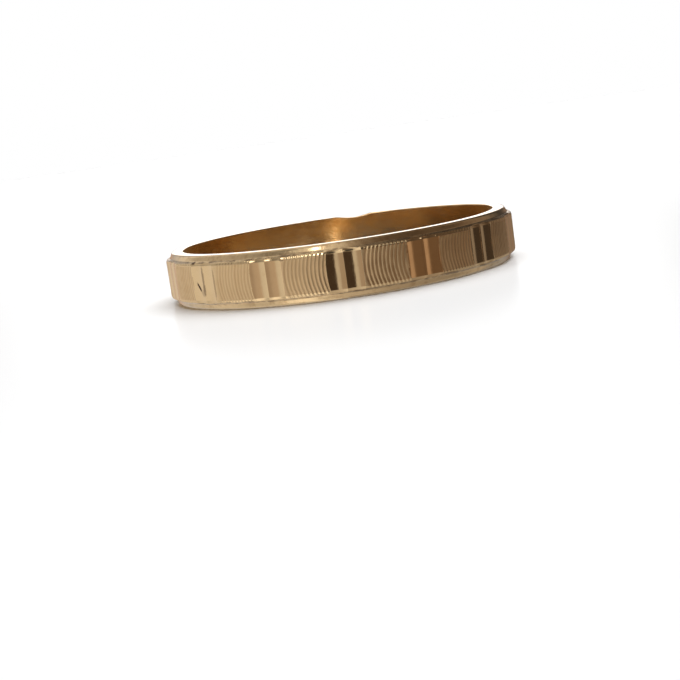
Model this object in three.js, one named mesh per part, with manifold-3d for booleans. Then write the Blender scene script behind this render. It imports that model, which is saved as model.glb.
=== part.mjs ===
// A patterned finger band: a plain round ring with stepped edges, whose raised middle
// carries fifteen pairs of hollow-ground flutes cut straight across it, and a panel of
// engraved arcs between one pair and the next.
// Millimetres, +Z up. The ring lies flat, its axis is Z, and its lower face is at Z = 0.

import * as THREE from 'three';
import { mergeVertices } from 'three/addons/utils/BufferGeometryUtils.js';
import Module from 'manifold-3d';

// Driving dimensions
const FINGER_HOLE_DIAMETER = 18.5;
const BAND_WIDTH = 3.0;
const OUTER_DIAMETER = 20.6;
const END_FACE_DIAMETER = 19.66;
const SHOULDER_DIAMETER = 19.86;
const SHOULDER_FOOT_DIAMETER = 20.1;

// Steps of the edge, measured inward from each end face of the ring
const EDGE_ROUND_DEPTH = 0.08;
const SHOULDER_DEPTH = 0.3;
const RAISED_BAND_DEPTH = 0.43;

// Flutes: two hollows side by side make a pair, and the pairs are spaced evenly. One wheel
// with a double rim grinds a pair, so both of its hollows face straight out at the middle.
const FLUTE_PAIRS = 15;
const FIRST_PAIR_AZIMUTH = 0.6;
const FLUTE_SPACING = 0.96;
const FLUTE_DEPTH = 0.103;
const FLUTE_GRIND_RADIUS = 2.0;

// Engraved arcs: each panel between two pairs of flutes has a row of fine V-shaped grooves.
// All are arcs of one cutter radius, and bulge the same way round the ring.
const ARCS_PER_PANEL = 11;
const ARC_PITCH = 1.19;
const ARC_ROW_SHIFT = -0.5;
const ARC_RADIUS = 3.0;
const ARC_WIDTH = 0.15;
const ARC_DEPTH = 0.03;

// One shallow dent in the upper edge, at the back of the ring
const DENT_AZIMUTH = 172.6;
const DENT_WIDTH = 2.4;
const DENT_DEPTH = 0.15;

// Facets
const RING_SIDES = 90;
const FLUTE_SIDES = 64;
const ARC_SIDES = 24;
const DENT_SIDES = 48;
const CUT_OVERRUN = 1;
const ARC_CUTTER_REACH = 0.2;

const wasm = await Module();
wasm.setup();

// A closed solid from a geometry, with its shared corners merged
function toSolid(geometry) {
  const bare = geometry.toNonIndexed();
  bare.deleteAttribute('normal');
  bare.deleteAttribute('uv');
  const merged = mergeVertices(bare, 1e-5);
  const vertProperties = new Float32Array(merged.attributes.position.array);
  const triVerts = new Uint32Array(merged.index.array);
  return new wasm.Manifold(new wasm.Mesh({ numProp: 3, vertProperties, triVerts }));
}

// A geometry with flat-shaded faces from a solid
function toGeometry(solid) {
  const { vertProperties, triVerts } = solid.getMesh();
  const geometry = new THREE.BufferGeometry();
  geometry.setAttribute('position', new THREE.BufferAttribute(new Float32Array(vertProperties), 3));
  geometry.setIndex(new THREE.BufferAttribute(new Uint32Array(triVerts), 1));
  geometry.computeVertexNormals();
  return geometry;
}

// Azimuth 0 is the front of the ring, on -Y, and it grows towards +X
function atAzimuth(degrees, radius, height) {
  const angle = THREE.MathUtils.degToRad(degrees);
  return new THREE.Vector3(radius * Math.sin(angle), -radius * Math.cos(angle), height);
}

// The section of the ring: a straight bore, and an outside that steps out to the raised
// band over a rounded edge and a steep shoulder. Both ends are alike.
function ringSection() {
  const bore = FINGER_HOLE_DIAMETER / 2;
  const steps = [
    { radius: END_FACE_DIAMETER / 2, depth: 0 },
    { radius: SHOULDER_DIAMETER / 2, depth: EDGE_ROUND_DEPTH },
    { radius: SHOULDER_FOOT_DIAMETER / 2, depth: SHOULDER_DEPTH },
    { radius: OUTER_DIAMETER / 2, depth: RAISED_BAND_DEPTH },
  ];
  const lowerEdge = steps.map(({ radius, depth }) => new THREE.Vector2(radius, depth));
  const upperEdge = steps.map(({ radius, depth }) => new THREE.Vector2(radius, BAND_WIDTH - depth));
  return [
    new THREE.Vector2(bore, 0),
    ...lowerEdge,
    ...upperEdge.reverse(),
    new THREE.Vector2(bore, BAND_WIDTH),
    new THREE.Vector2(bore, 0),
  ];
}

function turnedRing() {
  const geometry = new THREE.LatheGeometry(ringSection(), RING_SIDES);
  geometry.rotateX(Math.PI / 2);
  return toSolid(geometry);
}

// One rim of the grinding wheel, which hollows one flute: an upright cylinder outside the
// ring that reaches in past the raised band by the depth of the flute, and never touches the
// shoulder. It stands to one side of the middle of its pair.
function fluteCutter(azimuth, side) {
  const height = BAND_WIDTH + 2 * CUT_OVERRUN;
  const wheel = new THREE.CylinderGeometry(FLUTE_GRIND_RADIUS, FLUTE_GRIND_RADIUS, height, FLUTE_SIDES);
  wheel.rotateX(Math.PI / 2);
  wheel.rotateZ(THREE.MathUtils.degToRad(azimuth));
  const wheelCentre = OUTER_DIAMETER / 2 - FLUTE_DEPTH + FLUTE_GRIND_RADIUS;
  const sideways = atAzimuth(azimuth + 90, 1, 0);
  const place = atAzimuth(azimuth, wheelCentre, BAND_WIDTH / 2);
  place.addScaledVector(sideways, (side * FLUTE_SPACING) / 2);
  wheel.translate(place.x, place.y, place.z);
  return toSolid(wheel);
}

// The rotating point that engraves one arc: a ring with a V-shaped edge, whose axis is a
// radius of the band, set off to one side so that only its near rim enters the metal
function arcCutter(azimuth) {
  const halfWidthPerDepth = ARC_WIDTH / 2 / ARC_DEPTH;
  const flare = halfWidthPerDepth * (ARC_DEPTH + ARC_CUTTER_REACH);
  const edge = [
    new THREE.Vector2(ARC_RADIUS, -ARC_DEPTH),
    new THREE.Vector2(ARC_RADIUS + flare, ARC_CUTTER_REACH),
    new THREE.Vector2(ARC_RADIUS - flare, ARC_CUTTER_REACH),
    new THREE.Vector2(ARC_RADIUS, -ARC_DEPTH),
  ];
  const cutter = new THREE.LatheGeometry(edge, ARC_SIDES);
  const outward = atAzimuth(azimuth, 1, 0);
  const sideways = atAzimuth(azimuth + 90, 1, 0);
  const down = new THREE.Vector3(0, 0, -1);
  const place = new THREE.Matrix4().makeBasis(sideways, outward, down);
  const centre = atAzimuth(azimuth, OUTER_DIAMETER / 2, BAND_WIDTH / 2);
  place.setPosition(centre.addScaledVector(sideways, ARC_RADIUS));
  cutter.applyMatrix4(place);
  return toSolid(cutter);
}

function pairAzimuth(pair) {
  return FIRST_PAIR_AZIMUTH + (pair * 360) / FLUTE_PAIRS;
}

function engraveArcs(ring) {
  let cut = ring;
  for (let panel = 0; panel < FLUTE_PAIRS; panel += 1) {
    const centre = pairAzimuth(panel + 0.5) + ARC_ROW_SHIFT;
    for (let arc = 0; arc < ARCS_PER_PANEL; arc += 1) {
      const fromCentre = arc - (ARCS_PER_PANEL - 1) / 2;
      cut = cut.subtract(arcCutter(centre + fromCentre * ARC_PITCH));
    }
  }
  return cut;
}

function cutFlutes(ring) {
  let cut = ring;
  for (let pair = 0; pair < FLUTE_PAIRS; pair += 1) {
    for (const side of [-1, 1]) {
      cut = cut.subtract(fluteCutter(pairAzimuth(pair), side));
    }
  }
  return cut;
}

// The dent is the mark of a long radial cylinder pressed into the upper face. Its radius
// comes from the width and the depth of the mark.
function dentCutter() {
  const radius = (DENT_WIDTH ** 2 / 4 + DENT_DEPTH ** 2) / (2 * DENT_DEPTH);
  const wall = (OUTER_DIAMETER - FINGER_HOLE_DIAMETER) / 2;
  const bar = new THREE.CylinderGeometry(radius, radius, wall + 2 * CUT_OVERRUN, DENT_SIDES);
  bar.rotateZ(THREE.MathUtils.degToRad(DENT_AZIMUTH));
  const middleRadius = (OUTER_DIAMETER + FINGER_HOLE_DIAMETER) / 4;
  const place = atAzimuth(DENT_AZIMUTH, middleRadius, BAND_WIDTH - DENT_DEPTH + radius);
  bar.translate(place.x, place.y, place.z);
  return toSolid(bar);
}

const gold = new THREE.MeshStandardMaterial({ color: 0xd3ac72, roughness: 0.25, metalness: 1 });

const ringSolid = cutFlutes(engraveArcs(turnedRing())).subtract(dentCutter());
const ringBand = new THREE.Mesh(toGeometry(ringSolid), gold);
ringBand.name = 'ring_band';

const group = new THREE.Group();
group.add(ringBand);

export default group;
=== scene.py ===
# %% [markdown]
# # A fluted and engraved finger band
# The ring is one piece of pale yellow gold: a plain round band whose two edges step down,
# with a raised middle. Fifteen pairs of hollow flutes are ground straight across the middle,
# and the panels between them are engraved with fine arcs. This file dresses the solid that
# comes with the frame, lights it, and looks at it from the photograph's place.

# %% Load the frame
import math
import random

import bmesh
import bpy
from mathutils import Matrix, Vector


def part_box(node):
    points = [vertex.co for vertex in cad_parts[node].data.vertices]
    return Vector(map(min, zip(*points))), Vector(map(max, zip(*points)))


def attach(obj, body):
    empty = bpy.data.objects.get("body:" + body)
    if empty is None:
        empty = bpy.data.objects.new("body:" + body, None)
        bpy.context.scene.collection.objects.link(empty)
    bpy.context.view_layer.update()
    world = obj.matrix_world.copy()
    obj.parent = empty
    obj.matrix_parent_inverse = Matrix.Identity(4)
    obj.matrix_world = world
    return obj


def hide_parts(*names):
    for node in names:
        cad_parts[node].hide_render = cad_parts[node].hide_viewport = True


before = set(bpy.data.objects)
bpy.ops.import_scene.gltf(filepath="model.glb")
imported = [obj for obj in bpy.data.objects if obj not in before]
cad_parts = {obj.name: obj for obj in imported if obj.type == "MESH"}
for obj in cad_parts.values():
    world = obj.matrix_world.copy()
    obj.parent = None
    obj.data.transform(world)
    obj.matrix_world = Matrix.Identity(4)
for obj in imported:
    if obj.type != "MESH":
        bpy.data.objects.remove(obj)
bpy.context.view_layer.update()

lowest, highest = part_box("ring_band")
print("ring_band runs from", tuple(lowest), "to", tuple(highest))

# %% [markdown]
# ## Sizes
# The solid's own box gives the outer radius and the width. The rest are the ring's steps and
# cuts, in millimetres and degrees, and they repeat the sizes that the solid was made from.
# Azimuth 0 is the front of the ring, on -Y, and it grows towards +X.

# %% Driving sizes
MM = 0.001
OUTER_RADIUS = highest.y / MM
BAND_WIDTH = (highest.z - lowest.z) / MM
BORE_RADIUS = 9.25
PAIRS = 15
FIRST_PAIR_AZIMUTH = 0.6
REPEAT = 360 / PAIRS
MIDDLE_HEIGHT = BAND_WIDTH / 2
print(f"outer radius {OUTER_RADIUS:.3f} mm, width {BAND_WIDTH:.3f} mm, one pair every {REPEAT} degrees")

# %% [markdown]
# ## The section of the ring
# A ring like this is turned on a lathe, so its section comes first: half of it is a short
# table of corners, and the other half is its mirror. The corners stand where they would be
# if they were sharp, and each has its own rounding, because a polished edge shows as a thin
# bright line, and a sharp one doesn't. The section could be a curve with a bevel profile, but
# a face with bevelled corners keeps every size exact and leaves the number of rows in our
# hands. The raised band gets a few close rows along its edges, where polishing has worn it
# down, and every other stretch gets one short row at each end, so that smooth shading
# doesn't spread from a rounding over a flat.

# %% Corners of the section, from the bore outwards
RAISED_BAND_DEPTH = 0.43
SOFT_EDGE_WIDTH = 0.11
CORNERS = [
    # name, radius, depth below the end face, rounding, steps in the rounding
    ("bore edge", BORE_RADIUS, 0.0, 0.04, 3),
    ("rim of the end face", 9.89, 0.0, 0.11, 4),
    ("foot of the shoulder", 10.05, 0.30, 0.03, 2),
    ("edge of the raised band", OUTER_RADIUS, RAISED_BAND_DEPTH, 0.04, 2),
]
ROW_ON_RAISED_BAND = 0.3
ROW_ELSEWHERE = 1.0
GUARD_ROW = 0.025
SHORTEST_WITH_ROWS = 4 * GUARD_ROW
SOFT_EDGE_ROWS = 3
RADIUS_TOLERANCE = 0.01


def section_of_the_ring():
    """The closed outline of the section, drawn on +X, with its corners rounded."""
    ring = bmesh.new()
    lower = [(radius, depth, rounding, steps) for _, radius, depth, rounding, steps in CORNERS]
    upper = [(radius, BAND_WIDTH - depth, rounding, steps) for radius, depth, rounding, steps in lower]
    rounded = []
    for radius, height, rounding, steps in lower + upper[::-1]:
        corner = ring.verts.new((radius * MM, 0, height * MM))
        rounded.append((corner, rounding, steps))
    bmesh.ops.contextual_create(ring, geom=[corner for corner, _, _ in rounded])
    for corner, rounding, steps in rounded:
        bmesh.ops.bevel(
            ring, geom=[corner], offset=rounding * MM, offset_type="OFFSET", segments=steps,
            profile=0.5, affect="VERTICES", clamp_overlap=True, material=-1,
        )
    bmesh.ops.delete(ring, geom=ring.faces[:], context="FACES_ONLY")
    return ring


def add_end_rows(edge, length, rows):
    """Short rows at both ends of a flat stretch, which keep the rounding's shading off it."""
    for corner in edge.verts[:]:
        reached = corner
        for _ in range(rows):
            step = length / rows * MM / edge.calc_length()
            _, reached = bmesh.utils.edge_split(edge, reached, step)


def add_rows(ring):
    """Rows along every stretch between two roundings, closest on the raised band."""
    for edge in ring.edges[:]:
        if edge.calc_length() < SHORTEST_WITH_ROWS * MM:
            continue
        middle = (edge.verts[0].co + edge.verts[1].co) / 2
        on_raised_band = middle.x > (OUTER_RADIUS - RADIUS_TOLERANCE) * MM
        if on_raised_band:
            add_end_rows(edge, SOFT_EDGE_WIDTH, SOFT_EDGE_ROWS)
        else:
            add_end_rows(edge, GUARD_ROW, 1)
        row_length = ROW_ON_RAISED_BAND if on_raised_band else ROW_ELSEWHERE
        cuts = math.ceil(edge.calc_length() / MM / row_length) - 1
        if cuts > 0:
            bmesh.ops.subdivide_edges(ring, edges=[edge], cuts=cuts)


ring = section_of_the_ring()
add_rows(ring)
print("the section has", len(ring.verts), "points")

# %% [markdown]
# ## Turning the section
# A spin turns the section through one repeat of the pattern, and a second spin copies that
# sector round the ring, which is far quicker than one long spin. The number of columns is
# chosen for the cuts that follow: each pair of flutes and each engraved groove gets its own
# columns, and every repeat has the same number of them.

# %% Spin one repeat, then copy it round
GROOVES = 11
COLUMNS_PER_GROOVE = 8
COLUMNS_PER_FLUTE = 12
PANEL_COLUMNS = GROOVES * COLUMNS_PER_GROOVE
COLUMNS = PANEL_COLUMNS + 2 * COLUMNS_PER_FLUTE
FRONT_FROM_X = -90
SEAM = 0.001 * MM

start = Matrix.Rotation(math.radians(FRONT_FROM_X + FIRST_PAIR_AZIMUTH), 4, "Z")
bmesh.ops.transform(ring, matrix=start, verts=ring.verts[:])
bmesh.ops.spin(
    ring, geom=ring.verts[:] + ring.edges[:], cent=(0, 0, 0), axis=(0, 0, 1),
    angle=math.radians(REPEAT), steps=COLUMNS, use_merge=False, use_duplicate=False,
)
bmesh.ops.spin(
    ring, geom=ring.verts[:] + ring.edges[:] + ring.faces[:], cent=(0, 0, 0), axis=(0, 0, 1),
    angle=math.radians(REPEAT * (PAIRS - 1)), steps=PAIRS - 1, use_merge=False, use_duplicate=True,
)
bmesh.ops.remove_doubles(ring, verts=ring.verts[:], dist=SEAM)
bmesh.ops.recalc_face_normals(ring, faces=ring.faces[:])
open_edges = sum(1 for edge in ring.edges if len(edge.link_faces) != 2)
print("the turned ring has", len(ring.faces), "faces and", open_edges, "open edges")

# %% [markdown]
# ## Laying out the columns
# On the real ring a grinding wheel hollows the flutes, and a small rotating point engraves
# the arcs. Here the columns are first moved sideways to where those cuts have their edges:
# they crowd together at the flutes' edges, so that the edges stay crisp, and inside a panel
# they bend into arcs, so that each groove runs along its own columns and needs few rows.
# A displacement texture would need ten times the faces for the same lines.

# %% Where the columns go
PANEL_START = 5.4
LAST_FLUTE_WIDTH = 5.6
PANEL_END = REPEAT - LAST_FLUTE_WIDTH
CROWDING = 0.8
ARC_RADIUS = 3.0
DEGREE_AT_SURFACE = math.radians(1) * OUTER_RADIUS


def crowded(part):
    """From 0 to 1, slow at both ends, so that columns gather at the edges of a flute."""
    return part - CROWDING * math.sin(math.tau * part) / math.tau


def column_place(column):
    """Degrees from the middle of a pair of flutes to a column, at mid-height."""
    if column < COLUMNS_PER_FLUTE:
        return PANEL_START * crowded(column / COLUMNS_PER_FLUTE)
    if column <= COLUMNS_PER_FLUTE + PANEL_COLUMNS:
        part = (column - COLUMNS_PER_FLUTE) / PANEL_COLUMNS
        return PANEL_START + part * (PANEL_END - PANEL_START)
    return REPEAT - (REPEAT - PANEL_END) * crowded((COLUMNS - column) / COLUMNS_PER_FLUTE)


def arc_bend(height):
    """Degrees by which an arc has moved along at a height: none at mid-height."""
    rise = abs(height - MIDDLE_HEIGHT)
    sideways = ARC_RADIUS - math.sqrt(ARC_RADIUS**2 - rise**2)
    return sideways / DEGREE_AT_SURFACE


def bend_share(column):
    """How far a column follows the arcs: not at all in the first flute, fully in the panel."""
    if column <= COLUMNS_PER_FLUTE:
        return 0.0
    if column <= COLUMNS_PER_FLUTE + PANEL_COLUMNS:
        return 1.0
    return (COLUMNS - column) / COLUMNS_PER_FLUTE


# %% [markdown]
# ## Depth of the cuts
# One wheel with a double rim grinds a pair of flutes, so the section of a pair is two equal
# circles side by side, and both hollows face the same way. A point of the ring goes inwards
# along its own radius until it meets the nearer circle. A groove of the engraving is a
# shallow wave with a crest on each side. Nobody's hand is exact, so each pair sits a little
# off its place, as seen in the photograph or drawn from a seeded list, and each groove has
# its own share of the full depth.

# %% The cutters
FLUTE_SPACING = 0.96
FLUTE_DEPTH = 0.103
FLUTE_GRIND_RADIUS = 2.0
GROOVE_DEPTH = 0.023
SHALLOWEST_GROOVE = 0.8
DEEPEST_GROOVE = 1.15

SEED = 1975
UNSEEN_PAIR_ERROR = 0.05
SEEN_PAIR_ERROR = {0: 0.0, 1: 0.65, 2: 0.35, 13: -1.1, 14: 0.0}

chance = random.Random(SEED)
pair_error = [chance.uniform(-UNSEEN_PAIR_ERROR, UNSEEN_PAIR_ERROR) for _ in range(PAIRS)]
for pair, error in SEEN_PAIR_ERROR.items():
    pair_error[pair] = error
groove_share = [
    [chance.uniform(SHALLOWEST_GROOVE, DEEPEST_GROOVE) for _ in range(GROOVES)]
    for _ in range(PAIRS)
]
print("pairs are off by", [round(error, 2) for error in pair_error], "degrees")


def radius_at_wheel(place, side):
    """Where a rim of the wheel cuts the radius at a place, in millimetres from the axis."""
    off = math.radians(place)
    aside = side * FLUTE_SPACING / 2
    ahead = OUTER_RADIUS - FLUTE_DEPTH + FLUTE_GRIND_RADIUS
    along = aside * math.sin(off) + ahead * math.cos(off)
    reach = along**2 - aside**2 - ahead**2 + FLUTE_GRIND_RADIUS**2
    return along - math.sqrt(reach) if reach > 0 else OUTER_RADIUS


def flute_radius(place, repeat):
    """The radius that the flutes of this pair and the next leave at a place."""
    here = place - pair_error[repeat]
    beyond = place - REPEAT - pair_error[(repeat + 1) % PAIRS]
    nearest = here if here < REPEAT / 2 else beyond
    return min(OUTER_RADIUS, radius_at_wheel(nearest, -1), radius_at_wheel(nearest, 1))


def groove_depth(column, repeat):
    """Depth of the engraving at a column of the panel, in millimetres."""
    along = (column - COLUMNS_PER_FLUTE) / COLUMNS_PER_GROOVE
    if not 0 < along < GROOVES:
        return 0.0
    groove = int(along)
    wave = (1 - math.cos(math.tau * (along - groove))) / 2
    return GROOVE_DEPTH * groove_share[repeat][groove] * wave


# %% [markdown]
# ## Cutting the ring
# Every point of the raised band moves once: sideways to its column's place, and inwards to
# the deepest of the cuts. Near the band's edges it then moves a little further in: years of
# wear and polishing have softened them, cuts and all, and those narrow slopes catch the lamps
# as the bright dashes along the edge. The zone attribute remembers what each point belongs
# to, and the hollow attribute how deep it lies in the engraving: the deeper it lies, the
# browner the panel's colour there.

# %% Move the points
SOFT_EDGE_DEPTH = 0.03
SOFT_EDGE_CURVE = 1.5
RAISED_ZONE_RADIUS = 10.12
UNCUT_ZONE = 0.0
FLUTE_ZONE = 1.0
PANEL_ZONE = 2.0

zone = ring.verts.layers.float.new("zone")
hollow = ring.verts.layers.float.new("hollow")


def soft_edge(height):
    """How far polishing has worn the raised band down at a height: only near its edges."""
    from_edge = min(height, BAND_WIDTH - height) - RAISED_BAND_DEPTH
    part = 1 - from_edge / SOFT_EDGE_WIDTH
    return SOFT_EDGE_DEPTH * min(part, 1) ** SOFT_EDGE_CURVE if part > 0 else 0.0


def cut_point(point):
    """Move one point to where the cuts leave it, and note its zone and its depth."""
    x, y, height = point.co / MM
    radius = math.hypot(x, y)
    if radius < RAISED_ZONE_RADIUS:
        return
    turned = (math.degrees(math.atan2(x, -y)) - FIRST_PAIR_AZIMUTH) % 360
    step = round(turned / 360 * PAIRS * COLUMNS) % (PAIRS * COLUMNS)
    repeat, column = divmod(step, COLUMNS)
    place = column_place(column) + bend_share(column) * arc_bend(height)
    left_by_flutes = flute_radius(place, repeat)
    depth = groove_depth(column, repeat)
    azimuth = math.radians(FIRST_PAIR_AZIMUTH + repeat * REPEAT + place)
    new_radius = min(radius, min(left_by_flutes, OUTER_RADIUS - depth) - soft_edge(height))
    point.co = Vector((new_radius * math.sin(azimuth), -new_radius * math.cos(azimuth), height)) * MM
    in_flute = left_by_flutes < OUTER_RADIUS - depth
    point[zone] = FLUTE_ZONE if in_flute else PANEL_ZONE
    point[hollow] = 0.0 if in_flute else depth / GROOVE_DEPTH


for point in ring.verts:
    cut_point(point)
print("cut", PAIRS * 2, "flutes and", PAIRS * GROOVES, "grooves")

# %% [markdown]
# ## The dent
# The rim at the back has one shallow dent, where the ring once met something hard. The metal
# there is pushed down as a whole, so the dent keeps the rim's rounding and fades out below.

# %% Press the dent
DENT_AZIMUTH = 172.6
DENT_WIDTH = 2.4
DENT_DEPTH = 0.15
DENT_FADE = 0.9
DENT_CURVE = 1.3


def dent_depth(x, y):
    """How far the rim is pushed down at a place, in millimetres."""
    middle = math.radians(DENT_AZIMUTH)
    along = x * math.cos(middle) + y * math.sin(middle)
    outward = x * math.sin(middle) - y * math.cos(middle)
    part = abs(along) / (DENT_WIDTH / 2)
    return DENT_DEPTH * (1 - part**2) ** DENT_CURVE if outward > 0 and part < 1 else 0.0


for point in ring.verts:
    x, y, height = point.co / MM
    fade = max(0.0, 1 - (BAND_WIDTH - height) / DENT_FADE)
    point.co.z -= dent_depth(x, y) * fade * MM
print("pressed one dent at azimuth", DENT_AZIMUTH)

# %% [markdown]
# ## One object
# The mesh goes into one object at the origin, smooth shaded, with a material for each finish.
# The zone of a face's corners says which finish it has. The worn edges of a panel have lost
# their engraving, so they are polished like the flutes.

# %% Make the object
BORE_FINISH, EDGE_FINISH, FLUTE_FINISH, PANEL_FINISH = range(4)
BORE_FINISH_RADIUS = BORE_RADIUS + 0.02


def finish_of(face):
    """The number of the finish that a face has."""
    middle = face.calc_center_median() / MM
    radius = math.hypot(middle.x, middle.y)
    if radius < BORE_FINISH_RADIUS:
        return BORE_FINISH
    zones = {corner[zone] for corner in face.verts}
    if UNCUT_ZONE in zones:
        return EDGE_FINISH
    engraved = zones == {PANEL_ZONE} and soft_edge(middle.z) == 0.0
    return PANEL_FINISH if engraved else FLUTE_FINISH


for face in ring.faces:
    face.smooth = True
    face.material_index = finish_of(face)
mesh = bpy.data.meshes.new("fluted_band")
ring.to_mesh(mesh)
ring.free()
band = bpy.data.objects.new("fluted_band", mesh)
bpy.context.scene.collection.objects.link(band)
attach(band, "root")
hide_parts("ring_band")
print("fluted_band has", sum(len(face.vertices) - 2 for face in mesh.polygons), "triangles")

# %% [markdown]
# ## Effects that the finishes share
# The four finishes are the same gold, worked in different ways, so what they share is built
# once as node groups: fine lines left by polishing, a cloudy wear pattern, a broken dark line
# in the steps that is partly dirt a cloth never reaches and partly painted shade, and marks
# placed at a stated spot. A group only puts out a height or a mask, and each material keeps
# its own shader.

# %% Node helpers
LINK_VECTOR, LINK_VALUE = "NodeSocketVector", "NodeSocketFloat"


def node(tree, kind, settings=None, **inputs):
    """A new node with its settings, its inputs set to values or linked to other sockets.

    Inputs go by name, with _ for a space, or by number: i0, i1 and so on.
    """
    made = tree.nodes.new("ShaderNode" + kind)
    for name, value in (settings or {}).items():
        setattr(made, name, value)
    for name, value in inputs.items():
        key = int(name[1:]) if name[0] == "i" and name[1:].isdigit() else name.replace("_", " ")
        socket = made.inputs[key]
        if isinstance(value, bpy.types.NodeSocket):
            tree.links.new(value, socket)
        else:
            socket.default_value = value
    return made


def math_node(tree, operation, *values):
    """The result socket of a Math node."""
    inputs = {f"i{index}": value for index, value in enumerate(values)}
    return node(tree, "Math", {"operation": operation}, **inputs).outputs[0]


def between(tree, value, zero_at, one_at):
    """A share that is 0 at one value and 1 at another, and smooth between."""
    return node(
        tree, "MapRange", {"interpolation_type": "SMOOTHSTEP"},
        Value=value, From_Min=zero_at, From_Max=one_at,
    ).outputs[0]


def mixed(tree, share, first, second):
    """A colour between two, by a share from 0 to 1. The Mix node's colours are 6, 7 and 2."""
    return node(tree, "Mix", {"data_type": "RGBA"}, i0=share, i6=first, i7=second).outputs[2]


def new_group(name, inputs, outputs):
    """An empty node group with named sockets, and the inner ends of those sockets."""
    tree = bpy.data.node_groups.new(name, "ShaderNodeTree")
    for label, kind, value in inputs:
        socket = tree.interface.new_socket(label, in_out="INPUT", socket_type=kind)
        socket.default_value = value
    for label, kind in outputs:
        tree.interface.new_socket(label, in_out="OUTPUT", socket_type=kind)
    entry = tree.nodes.new("NodeGroupInput")
    leave = tree.nodes.new("NodeGroupOutput")
    return tree, entry.outputs, leave.inputs


def use_group(tree, group, **inputs):
    """The outputs of a group placed in a tree, with its inputs set."""
    placed = tree.nodes.new("ShaderNodeGroup")
    placed.node_tree = group
    for name, value in inputs.items():
        placed.inputs[name.capitalize()].default_value = value
    return placed.outputs


# %% Fine lines: noise drawn out in one direction
PER_MM = 1000.0


def fine_lines_group():
    tree, given, out = new_group(
        "fine_lines",
        [("Stretch", LINK_VECTOR, (1, 1, 1)), ("Detail", LINK_VALUE, 3.0)],
        [("Height", LINK_VALUE)],
    )
    place = node(tree, "TexCoord").outputs["Object"]
    drawn = node(tree, "VectorMath", {"operation": "MULTIPLY"}, i0=place, i1=given["Stretch"])
    lines = node(tree, "TexNoise", Vector=drawn.outputs[0], Scale=PER_MM, Detail=given["Detail"])
    tree.links.new(lines.outputs[0], out["Height"])
    return tree


# %% Clouds: where the metal is worn, smeared or tarnished
def clouds_group():
    tree, given, out = new_group(
        "clouds",
        [("Size", LINK_VALUE, 1.0), ("Low", LINK_VALUE, 0.45), ("High", LINK_VALUE, 0.65)],
        [("Mask", LINK_VALUE)],
    )
    place = node(tree, "TexCoord").outputs["Object"]
    scale = math_node(tree, "DIVIDE", PER_MM, given["Size"])
    noise = node(tree, "TexNoise", Vector=place, Scale=scale, Detail=4.0, Roughness=0.6)
    tree.links.new(between(tree, noise.outputs[0], given["Low"], given["High"]), out["Mask"])
    return tree


# %% Dirt and painted shade in the steps: a broken dark line where the raised band rises from the shoulder
PATCHES_PER_MM = 1.6
PATCH_STRETCH = (1, 1, 4)


def step_dirt_and_shade_group():
    tree, given, out = new_group(
        "step_dirt_and_shade",
        [("Depth", LINK_VALUE, 0.35), ("Reach", LINK_VALUE, 0.08)],
        [("Mask", LINK_VALUE)],
    )
    place = node(tree, "TexCoord").outputs["Object"]
    axes = node(tree, "SeparateXYZ", Vector=place).outputs
    height = math_node(tree, "MULTIPLY", axes["Z"], PER_MM)
    from_middle = math_node(tree, "ABSOLUTE", math_node(tree, "SUBTRACT", height, MIDDLE_HEIGHT))
    depth = math_node(tree, "SUBTRACT", MIDDLE_HEIGHT, from_middle)
    off_line = math_node(tree, "ABSOLUTE", math_node(tree, "SUBTRACT", depth, given["Depth"]))
    on_line = math_node(tree, "SUBTRACT", 1.0, math_node(tree, "DIVIDE", off_line, given["Reach"]))
    drawn = node(tree, "VectorMath", {"operation": "MULTIPLY"}, i0=place, i1=PATCH_STRETCH)
    noise = node(
        tree, "TexNoise",
        Vector=drawn.outputs[0], Scale=PATCHES_PER_MM * PER_MM, Detail=5.0, Roughness=0.7,
    )
    patches = between(tree, noise.outputs[0], zero_at=0.42, one_at=0.62)
    line = between(tree, on_line, zero_at=0.0, one_at=0.7)
    tree.links.new(math_node(tree, "MULTIPLY", line, patches), out["Mask"])
    return tree


# %% A mark: an oval of dirt at an azimuth and a height, with a ragged edge
RAGS_PER_MM = 12
RAGGEDNESS = 2.0


def mark_group():
    tree, given, out = new_group(
        "mark",
        [
            ("Azimuth", LINK_VALUE, 0.0), ("Height", LINK_VALUE, 1.5),
            ("Length", LINK_VALUE, 0.5), ("Tallness", LINK_VALUE, 0.2),
            ("Lean", LINK_VALUE, 0.0), ("Strength", LINK_VALUE, 1.0),
        ],
        [("Mask", LINK_VALUE)],
    )
    place = node(tree, "TexCoord").outputs["Object"]
    axes = node(tree, "SeparateXYZ", Vector=place).outputs
    back = math_node(tree, "MULTIPLY", axes["Y"], -1.0)
    azimuth = math_node(tree, "DEGREES", math_node(tree, "ARCTAN2", axes["X"], back))
    from_mark = math_node(tree, "SUBTRACT", azimuth, given["Azimuth"])
    along = math_node(tree, "MULTIPLY", from_mark, DEGREE_AT_SURFACE)
    height = math_node(tree, "MULTIPLY", axes["Z"], PER_MM)
    above = math_node(tree, "SUBTRACT", height, given["Height"])
    slid = math_node(tree, "MULTIPLY_ADD", above, given["Lean"], along)
    across = math_node(tree, "POWER", math_node(tree, "DIVIDE", slid, given["Length"]), 2.0)
    upward = math_node(tree, "POWER", math_node(tree, "DIVIDE", above, given["Tallness"]), 2.0)
    reach = math_node(tree, "ADD", across, upward)
    noise = node(tree, "TexNoise", Vector=place, Scale=RAGS_PER_MM * PER_MM, Detail=3.0).outputs[0]
    in_and_out = math_node(tree, "SUBTRACT", noise, 0.5)
    ragged = math_node(tree, "MULTIPLY_ADD", in_and_out, RAGGEDNESS, reach)
    oval = between(tree, ragged, zero_at=1.3, one_at=0.2)
    tree.links.new(math_node(tree, "MULTIPLY", oval, given["Strength"]), out["Mask"])
    return tree


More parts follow.
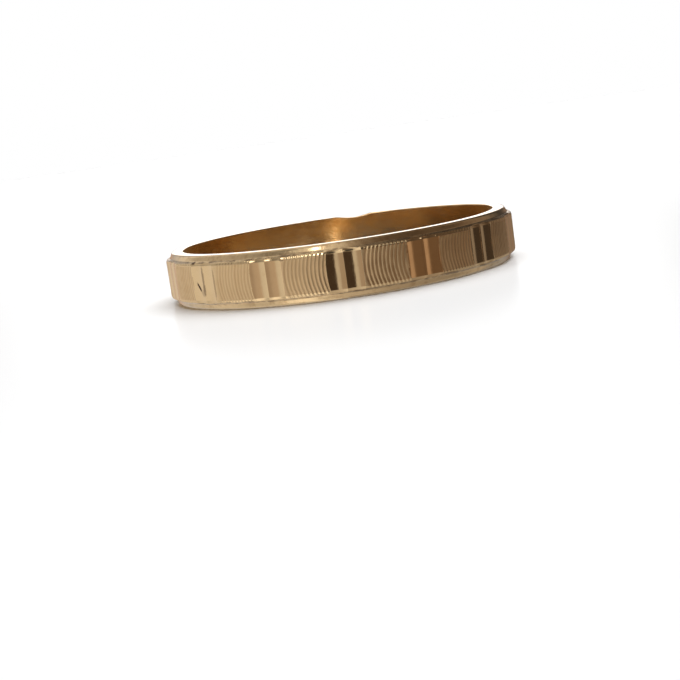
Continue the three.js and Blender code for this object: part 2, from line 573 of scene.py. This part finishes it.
fine_lines = fine_lines_group()
clouds = clouds_group()
step_dirt_and_shade = step_dirt_and_shade_group()
mark = mark_group()
print("node groups:", [group.name for group in bpy.data.node_groups])

# %% [markdown]
# ## The gold
# Gold has no colour of its own under the surface: it colours what it mirrors. So the shader
# is fully metallic and its base colour is the tint of the reflection. Every finish gets the
# same tint, faint lines from polishing and soft unevenness from wear as bump, clouds of wear
# that roughen it, and a film of brown where hands don't reach. The finishes differ in how
# rough, how lined and how uneven they are, and only the outside has dirt, marks and the dark
# step line, which is partly painted shade. Inside the bore light bounces on and on, and a
# renderer gives up after a few bounces and shows black. So from the third bounce on the bore
# gives off a painted brown glow in place of that light, which costs nothing.

# %% Tints and marks
GOLD = (0.90, 0.64, 0.35, 1)
WARM_FILM = (0.62, 0.39, 0.19, 1)
DIRT_AND_STEP_SHADE = (0.10, 0.05, 0.03, 1)
STEP_DIRT_AND_SHADE_STRENGTH = 0.7

MARKS = [
    # azimuth, height, length, tallness, lean, strength
    (-51.1, 1.28, 0.10, 0.30, 0.58, 1.0),
    (-48.5, 1.15, 0.12, 0.40, 0.0, 0.6),
    (-49.4, 0.95, 0.20, 0.22, 0.3, 0.3),
    (-48.5, 1.80, 0.10, 0.75, 0.0, 0.5),
    (-43.0, 1.50, 0.08, 1.05, 0.0, 0.4),
    (-53.0, 2.63, 0.17, 0.08, 0.0, 0.9),
    (-17.8, 2.46, 0.16, 0.06, 0.0, 0.5),
    (-38.5, 0.42, 0.30, 0.035, 0.0, 0.5),
    (-31.0, 0.42, 0.55, 0.04, 0.0, 0.5),
    (-7.1, 0.42, 0.27, 0.03, 0.0, 0.6),
    (33.2, 0.42, 0.70, 0.04, 0.0, 0.6),
    (47.6, 1.25, 0.07, 0.10, 0.6, 0.7),
    (48.8, 0.72, 0.08, 0.06, 0.3, 0.7),
]


def all_marks(tree):
    """One mask for all placed marks."""
    mask = 0.0
    for azimuth, height, length, tallness, lean, strength in MARKS:
        spot = use_group(tree, mark, azimuth=azimuth, height=height, length=length,
                         tallness=tallness, lean=lean, strength=strength)["Mask"]
        mask = math_node(tree, "MAXIMUM", mask, spot)
    return mask


# %% One finish of the gold
# Shares of the finish's own roughness, then what dirt, marks and painted step shade add, then the bumps
# in millimetres
ROUGH_WHERE_BRIGHT = 0.8
ROUGHER_WHERE_WORN = 0.5
ROUGHER_UNDER_DIRT_AND_SHADE = 0.4
WAVE_HEIGHT = 0.03
LINE_HEIGHT = 0.01


def gold_finish(
    name, roughness, lines, line_strength, waviness, film, film_size=1.4, outside=False, engraved=0.0,
):
    """One finish. Its film and engraving make it browner, and the outside has dirt, marks and painted
    shade in the step.
    """
    material = bpy.data.materials.new(name)
    material.use_nodes = True
    tree = material.node_tree
    shader = tree.nodes["Principled BSDF"]
    shader.inputs["Metallic"].default_value = 1.0

    film_mask = use_group(tree, clouds, size=film_size, low=0.45, high=0.75)["Mask"]
    film_share = math_node(tree, "MULTIPLY", film_mask, film)
    if engraved:
        depth = node(tree, "Attribute", {"attribute_name": "hollow"}).outputs["Fac"]
        browner_in_grooves = math_node(tree, "MULTIPLY", depth, engraved)
        film_share = math_node(tree, "MAXIMUM", film_share, browner_in_grooves)
    dirt_and_shade_mask = 0.0
    if outside:
        # The dark line in the step is partly dirt and partly painted shade
        dirt_and_shade_in_step = math_node(tree, "MULTIPLY", use_group(tree, step_dirt_and_shade)["Mask"], STEP_DIRT_AND_SHADE_STRENGTH)
        dirt_and_shade_mask = math_node(tree, "MAXIMUM", all_marks(tree), dirt_and_shade_in_step)
    color = mixed(tree, film_share, GOLD, WARM_FILM)
    # Dirt and marks, and painted shade in the step, darken the colour here
    tree.links.new(mixed(tree, dirt_and_shade_mask, color, DIRT_AND_STEP_SHADE), shader.inputs["Base Color"])

    worn = use_group(tree, clouds, size=0.5, low=0.35, high=0.75)["Mask"]
    worn_rough = math_node(
        tree, "MULTIPLY_ADD", worn, ROUGHER_WHERE_WORN * roughness, ROUGH_WHERE_BRIGHT * roughness,
    )
    rough = math_node(tree, "MULTIPLY_ADD", dirt_and_shade_mask, ROUGHER_UNDER_DIRT_AND_SHADE, worn_rough)
    tree.links.new(rough, shader.inputs["Roughness"])

    uneven = use_group(tree, clouds, size=0.9, low=0.2, high=0.8)["Mask"]
    soft = node(tree, "Bump", Strength=waviness, Distance=WAVE_HEIGHT * MM, Height=uneven)
    height = use_group(tree, fine_lines, stretch=lines, detail=4.0)["Height"]
    bump = node(
        tree, "Bump", Strength=line_strength, Distance=LINE_HEIGHT * MM, Height=height,
        Normal=soft.outputs[0],
    )
    tree.links.new(bump.outputs[0], shader.inputs["Normal"])
    return material


# %% A painted brown glow that stands in for the bore's light after many bounces
def add_deep_bounces(material, bounces, color):
    """Light that has bounced this often leaves as one plain colour."""
    tree = material.node_tree
    bounced = node(tree, "LightPath").outputs["Glossy Depth"]
    deep = math_node(tree, "GREATER_THAN", bounced, bounces - 0.5)
    painted_glow = node(tree, "Emission", Color=color)
    shader = tree.nodes["Principled BSDF"].outputs[0]
    blend = node(tree, "MixShader", i0=deep, i1=shader, i2=painted_glow.outputs[0])
    tree.links.new(blend.outputs[0], tree.nodes["Material Output"].inputs["Surface"])


# %% The four finishes, in the order of their numbers
# Noise per millimetre along each axis: the lines run where it is small
ROUND_THE_RING = (1.2, 1.2, 22)
STRAIGHT_UP = (26, 26, 1.5)
BOUNCES_SHOWN = 3
# A painted glow that stands in for light after many bounces in the bore
PAINTED_BOUNCE_GLOW = (0.17, 0.15, 0.12, 1)

bore_gold = gold_finish(
    "bore_gold", roughness=0.13, lines=ROUND_THE_RING, line_strength=0.2, waviness=0.15, film=0.4,
)
edge_gold = gold_finish(
    "edge_gold", roughness=0.11, lines=ROUND_THE_RING, line_strength=0.2, waviness=0.12, film=0.7,
    film_size=0.35, outside=True,
)
flute_gold = gold_finish(
    "flute_gold", roughness=0.10, lines=STRAIGHT_UP, line_strength=0.12, waviness=0.09, film=0.25,
    outside=True,
)
panel_gold = gold_finish(
    "panel_gold", roughness=0.38, lines=STRAIGHT_UP, line_strength=0.03, waviness=0.04, film=0.03,
    outside=True, engraved=0.6,
)
add_deep_bounces(bore_gold, BOUNCES_SHOWN, PAINTED_BOUNCE_GLOW)
for finish in (bore_gold, edge_gold, flute_gold, panel_gold):
    mesh.materials.append(finish)
print("finishes:", [material.name for material in mesh.materials])

# %% [markdown]
# ## The table
# The table is white and slightly shiny, so it carries a faint, blurred image of the ring that
# fades with distance. The ring mirrors the studio round it rather than the table, as a ring
# does that is held a little above one, so the table is hidden from its reflections. A dark
# card under the finger hole is painted shade for the bore: it gives the bore its depth of
# colour, and two pale stripes on it, the brighter one glowing, are painted highlights that give
# the bore its bright streak and the softer light to the right of that. Only the metal sees the
# card, and only its upper side.

# %% Table and painted-shade card
TABLE_RADIUS = 1.2
SHINE_RADIUS = 0.045
TABLE_SHINE = 0.16
SHINE_ROUGHNESS = 0.22
TABLE_WHITE = (0.93, 0.93, 0.93, 1)
CARD_RADIUS = BORE_RADIUS - 0.1
CARD_HEIGHT = 0.01
CARD_PAINTED_SHADE = (0.02, 0.022, 0.03, 1)
CARD_PAINTED_LIGHTER_SHADE = (0.09, 0.10, 0.11, 1)
CORNER_SPREAD = 9.0
PAINTED_HIGHLIGHT_STRIPES = [
    # place to the right of the middle, half width, colour, glow
    (0.45, 0.72, (0.97, 0.95, 0.85, 1), 0.65),
    (4.9, 1.9, (0.36, 0.33, 0.29, 1), 0.0),
]
PAINTED_HIGHLIGHT_GLOW = (1.0, 0.78, 0.42, 1)


def disc(name, radius, height):
    """A flat round object, facing up, with its size and height in metres."""
    shape = bmesh.new()
    bmesh.ops.create_circle(shape, cap_ends=True, segments=96, radius=radius)
    bmesh.ops.translate(shape, vec=(0, 0, height), verts=shape.verts[:])
    flat = bpy.data.meshes.new(name)
    shape.to_mesh(flat)
    shape.free()
    made = bpy.data.objects.new(name, flat)
    bpy.context.scene.collection.objects.link(made)
    return made


def table_material():
    """Matt white, with a little shine near the ring."""
    material = bpy.data.materials.new("table_white")
    material.use_nodes = True
    tree = material.node_tree
    tree.nodes.remove(tree.nodes["Principled BSDF"])
    plain = node(tree, "BsdfDiffuse", Color=TABLE_WHITE)
    shiny = node(tree, "BsdfAnisotropic", Color=TABLE_WHITE, Roughness=SHINE_ROUGHNESS)
    place = node(tree, "TexCoord").outputs["Object"]
    away = node(tree, "VectorMath", {"operation": "LENGTH"}, i0=place).outputs["Value"]
    near = between(tree, away, zero_at=SHINE_RADIUS, one_at=SHINE_RADIUS / 4)
    share = math_node(tree, "MULTIPLY", near, TABLE_SHINE)
    blend = node(tree, "MixShader", i0=share, i1=plain.outputs[0], i2=shiny.outputs[0])
    tree.links.new(blend.outputs[0], tree.nodes["Material Output"].inputs["Surface"])
    return material


def painted_shade_card_material():
    """Painted shade for the bore: dark, paler at the back right and front left, with painted highlight
    stripes, and clear from below.
    """
    material = bpy.data.materials.new("painted_shade_card")
    material.use_nodes = True
    tree = material.node_tree
    shader = tree.nodes["Principled BSDF"]
    shader.inputs["Roughness"].default_value = 1.0
    shader.inputs["Emission Color"].default_value = PAINTED_HIGHLIGHT_GLOW
    place = node(tree, "TexCoord").outputs["Object"]
    axes = node(tree, "SeparateXYZ", Vector=place).outputs
    corner = math_node(tree, "MULTIPLY", axes["X"], axes["Y"])
    at_corner = between(tree, corner, zero_at=0.0, one_at=CORNER_SPREAD * MM * MM)
    color = mixed(tree, at_corner, CARD_PAINTED_SHADE, CARD_PAINTED_LIGHTER_SHADE)
    painted_glow = 0.0
    # The stripes are painted highlights for the bore to mirror, and the brighter one glows
    for right, half_width, stripe_color, stripe_glow in PAINTED_HIGHLIGHT_STRIPES:
        aside = math_node(tree, "ABSOLUTE", math_node(tree, "SUBTRACT", axes["X"], right * MM))
        stripe = between(tree, aside, zero_at=half_width * MM, one_at=half_width * MM / 2)
        color = mixed(tree, stripe, color, stripe_color)
        painted_glow = math_node(tree, "MULTIPLY_ADD", stripe, stripe_glow, painted_glow)
    tree.links.new(color, shader.inputs["Base Color"])
    tree.links.new(painted_glow, shader.inputs["Emission Strength"])
    underside = node(tree, "NewGeometry").outputs["Backfacing"]
    clear = node(tree, "BsdfTransparent")
    blend = node(tree, "MixShader", i0=underside, i1=shader.outputs[0], i2=clear.outputs[0])
    tree.links.new(blend.outputs[0], tree.nodes["Material Output"].inputs["Surface"])
    return material


table = disc("table", TABLE_RADIUS, 0)
table.data.materials.append(table_material())
table.visible_glossy = False

# This card is painted shade, seen only in the metal's reflections
shade_card = disc("painted_shade_under_hole", CARD_RADIUS * MM, CARD_HEIGHT * MM)
shade_card.data.materials.append(painted_shade_card_material())
shade_card.visible_camera = False
shade_card.visible_diffuse = False
shade_card.visible_shadow = False
print("staged", table.name, "and", shade_card.name)

# %% [markdown]
# ## The studio
# Polished metal shows nothing but its surroundings, so the light tent matters as much as the
# metal. The tent is painted in the world in four rings: overhead, above eye level, at it and
# below it. Each ring is a short table of brightness by azimuth. The dark stretches at the
# front right are the camera and the open side of the tent, and they are warm, because hands
# and wood are what a camera has round it. A pale wall stands low at the back and whitens the
# end face. Three lamps hang over the front: a small one for the hot spot on the shoulder, and
# two wide ones for the glints along the raised band. A dark flag between them keeps the dark
# flutes dark up to their ends. Real cards round the ring would do the same, but they would
# cast shadows and get into other views.

# %% The tent's four rings
OVERHEAD = [
    # azimuth, brightness, warmth
    (-180, 0.6, 0.0), (-60, 0.7, 0.0), (0, 0.5, 0.1), (40, 0.25, 0.3), (150, 0.25, 0.3),
    (180, 0.6, 0.0),
]
TENT_ABOVE = [
    (-180, 0.36, 0.1), (-173, 0.85, 0.0), (-166, 0.55, 0.0), (-160, 0.36, 0.0), (-154, 0.50, 0.0),
    (-147, 0.60, 0.0), (-133, 0.75, 0.0), (-123, 0.45, 0.0), (-101, 0.46, 0.0), (-77, 0.38, 0.0),
    (-63, 0.28, 0.0), (-49, 0.23, 0.0), (-42, 0.35, 0.0), (-33, 0.68, 0.0), (-17, 0.85, 0.0),
    (-4, 0.66, 0.0), (8, 0.40, 0.2), (17, 0.23, 0.3), (33, 0.115, 0.6), (63, 0.08, 0.6),
    (77, 0.11, 0.6), (89, 0.08, 0.6), (101, 0.13, 0.6), (112, 0.19, 0.5), (123, 0.21, 0.5),
    (133, 0.14, 0.3), (143, 0.055, 0.2), (152, 0.07, 0.3), (162, 0.11, 0.3), (173, 0.20, 0.3),
    (180, 0.36, 0.1),
]
TENT_AT_EYE_LEVEL = [
    (-180, 0.45, 0.8), (-163, 0.52, 0.8), (-150, 0.60, 0.5), (-138, 0.70, 0.0), (-80, 0.70, 0.0),
    (-60, 0.62, 0.0), (-54, 0.50, 0.3), (-38, 0.46, 0.3), (-30, 0.37, 0.35), (-12, 0.38, 0.3),
    (-8, 0.53, 0.05), (0.4, 0.55, 0.05), (2.2, 0.055, 0.7), (27, 0.055, 0.7), (31, 0.155, 0.9),
    (61, 0.155, 0.9), (68, 0.43, 0.7), (76, 0.43, 0.7), (80, 0.055, 0.6), (111, 0.05, 0.5),
    (115, 0.25, 0.3), (131, 0.25, 0.3), (139, 0.28, 0.6), (160, 0.22, 0.8), (180, 0.20, 0.8),
]
TENT_BELOW = [
    (-180, 0.65, 0.0), (-150, 0.55, 0.0), (-112, 0.68, 0.0), (-88, 0.54, 0.0), (-72, 0.56, 0.0),
    (-58, 0.95, 0.0), (-42, 1.05, 0.0), (-24, 0.65, 0.0), (0, 0.52, 0.1), (25, 0.47, 0.1),
    (45, 0.36, 0.2), (100, 0.27, 0.1), (112, 0.35, 0.1), (123, 0.44, 0.1), (133, 0.30, 0.0),
    (180, 0.35, 0.0),
]
RINGS_UPWARDS = [
    # ring, elevations where it starts and where it has taken over from the ring below
    (TENT_AT_EYE_LEVEL, -20, -9),
    (TENT_ABOVE, 0, 9),
    (OVERHEAD, 66, 76),
]
FIRST_STOPS = 2
GREEN_LOST_WHEN_WARM = 0.38
BLUE_LOST_WHEN_WARM = 0.62


def tinted(brightness, warmth):
    """A colour of the tent. At warmth 1 it is the reddish brown of its open side."""
    green = brightness * (1 - GREEN_LOST_WHEN_WARM * warmth)
    blue = brightness * (1 - BLUE_LOST_WHEN_WARM * warmth)
    return (brightness, green, blue, 1)


def tent_ring(tree, azimuth_share, ring_of_tent):
    """A colour ramp round the tent. A new ramp already has its first two stops."""
    ramp = node(tree, "ValToRGB", Fac=azimuth_share)
    stops = ramp.color_ramp.elements
    for index, (azimuth, brightness, warmth) in enumerate(ring_of_tent):
        spot = (azimuth + 180) / 360
        stop = stops[index] if index < FIRST_STOPS else stops.new(spot)
        stop.position = spot
        stop.color = tinted(brightness, warmth)
    return ramp.outputs[0]


# %% The wall, the lamps and the flag
WALL_BRIGHTNESS = 1.9
# Degrees where each soft edge of the wall begins, and where it ends in full brightness
WALL_SIDES = (164, 169)
WALL_FOOT = (2, 3.2)
WALL_TOP = (18, 12)
LAMPS_AND_FLAG = [
    # azimuth, elevation, half width, brightness
    (-20, 50, 3.0, 6.0),
    (-37, 33, 12, 4.5),
    (10, 24, 16, 0.06),
    (31, 29, 8, 1.3),
]


def grey(brightness):
    """A colour without a tint."""
    return (brightness, brightness, brightness, 1)


def back_wall(tree, azimuth, elevation):
    """1 on the low wall at the back, 0 off it, with soft sides."""
    from_front = math_node(tree, "ABSOLUTE", math_node(tree, "DEGREES", azimuth))
    at_back = between(tree, from_front, *WALL_SIDES)
    above_foot = between(tree, elevation, *WALL_FOOT)
    below_top = between(tree, elevation, *WALL_TOP)
    return math_node(tree, "MULTIPLY", at_back, math_node(tree, "MULTIPLY", above_foot, below_top))


def direction_to(azimuth, elevation):
    """The unit vector to a place on the tent."""
    round_about, up = math.radians(azimuth), math.radians(elevation)
    level = math.cos(up)
    return (math.sin(round_about) * level, -math.cos(round_about) * level, math.sin(up))


def round_patch(tree, direction, patch_direction, half_width):
    """1 inside a round lamp or flag, 0 outside it, with a soft rim."""
    nearness = node(
        tree, "VectorMath", {"operation": "DOT_PRODUCT"}, i0=direction, i1=patch_direction,
    ).outputs["Value"]
    rim = math.radians(half_width)
    return between(tree, nearness, zero_at=math.cos(rim), one_at=math.cos(rim / 2))


# %% Paint the tent
def light_tent():
    """A world that the metal mirrors. It doesn't light the table, and itself it looks white."""
    world = bpy.data.worlds.new("light_tent")
    world.use_nodes = True
    tree = world.node_tree
    direction = node(tree, "TexCoord").outputs["Generated"]
    axes = node(tree, "SeparateXYZ", Vector=direction).outputs
    front = math_node(tree, "MULTIPLY", axes["Y"], -1.0)
    azimuth = math_node(tree, "ARCTAN2", axes["X"], front)
    share = math_node(tree, "MULTIPLY_ADD", azimuth, 1 / math.tau, 0.5)
    elevation = math_node(tree, "DEGREES", math_node(tree, "ARCSINE", axes["Z"]))
    color = tent_ring(tree, share, TENT_BELOW)
    for ring_of_tent, starts, has_taken_over in RINGS_UPWARDS:
        higher = tent_ring(tree, share, ring_of_tent)
        color = mixed(tree, between(tree, elevation, starts, has_taken_over), color, higher)
    color = mixed(tree, back_wall(tree, azimuth, elevation), color, grey(WALL_BRIGHTNESS))
    for place, height, half_width, brightness in LAMPS_AND_FLAG:
        patch = round_patch(tree, direction, direction_to(place, height), half_width)
        color = mixed(tree, patch, color, grey(brightness))
    seen = node(tree, "LightPath").outputs["Is Camera Ray"]
    color = mixed(tree, seen, color, grey(1))
    tree.links.new(color, tree.nodes["Background"].inputs["Color"])
    world.cycles_visibility.diffuse = False
    return world


bpy.context.scene.world = light_tent()
print("the tent has", 1 + len(RINGS_UPWARDS), "rings and", len(LAMPS_AND_FLAG), "round patches")

# %% [markdown]
# ## The light on the table
# One very broad sun stands in for the softbox over the table. It gives the table its white
# and the ring its faint, wide shadow, and stays out of the ring's reflections, where the
# tent already shows the lamps.

# %% Table light
sun = bpy.data.lights.new("softbox_above", "SUN")
sun.energy = 3.7
sun.angle = math.radians(75)
sun_object = bpy.data.objects.new("softbox_above", sun)
sun_object.rotation_euler = (math.radians(-18), math.radians(12), 0)
sun_object.visible_glossy = False
bpy.context.scene.collection.objects.link(sun_object)
print("lit the table with", sun_object.name)

# %% [markdown]
# ## The camera
# The camera stands where the photograph was taken from, found by fitting the ring's rims and
# steps: 80 mm off and a little over 4 degrees above the upper rim, rolled so that the ring
# climbs to the right.

# %% Camera
CAMERA_DISTANCE = 80.36
CAMERA_ELEVATION = 4.319
CAMERA_ROLL = -8.066
CAMERA_PAN = 0.119
CAMERA_TILT = -4.773
PHOTO_SIZE = 680
FOCAL_PIXELS = 1345.4
SENSOR_WIDTH = 36

rim_middle = Vector((0, 0, BAND_WIDTH)) * MM
elevation = math.radians(CAMERA_ELEVATION)
away = Vector((0, -math.cos(elevation), math.sin(elevation)))
look = (-away).to_track_quat("-Z", "Y").to_matrix()
turn = (
    look
    @ Matrix.Rotation(math.radians(CAMERA_ROLL), 3, "Z")
    @ Matrix.Rotation(math.radians(-CAMERA_PAN), 3, "Y")
    @ Matrix.Rotation(math.radians(CAMERA_TILT), 3, "X")
)
lens = bpy.data.cameras.new("photo_camera")
lens.sensor_width = SENSOR_WIDTH
lens.lens = FOCAL_PIXELS / PHOTO_SIZE * SENSOR_WIDTH
lens.clip_start = 0.001
lens.clip_end = 10
camera = bpy.data.objects.new("photo_camera", lens)
camera.matrix_world = Matrix.Translation(rim_middle + away * CAMERA_DISTANCE * MM) @ turn.to_4x4()
bpy.context.scene.collection.objects.link(camera)
bpy.context.scene.camera = camera
bpy.context.scene.view_settings.view_transform = "Standard"
print("camera at", tuple(round(value / MM, 2) for value in camera.matrix_world.translation), "mm")
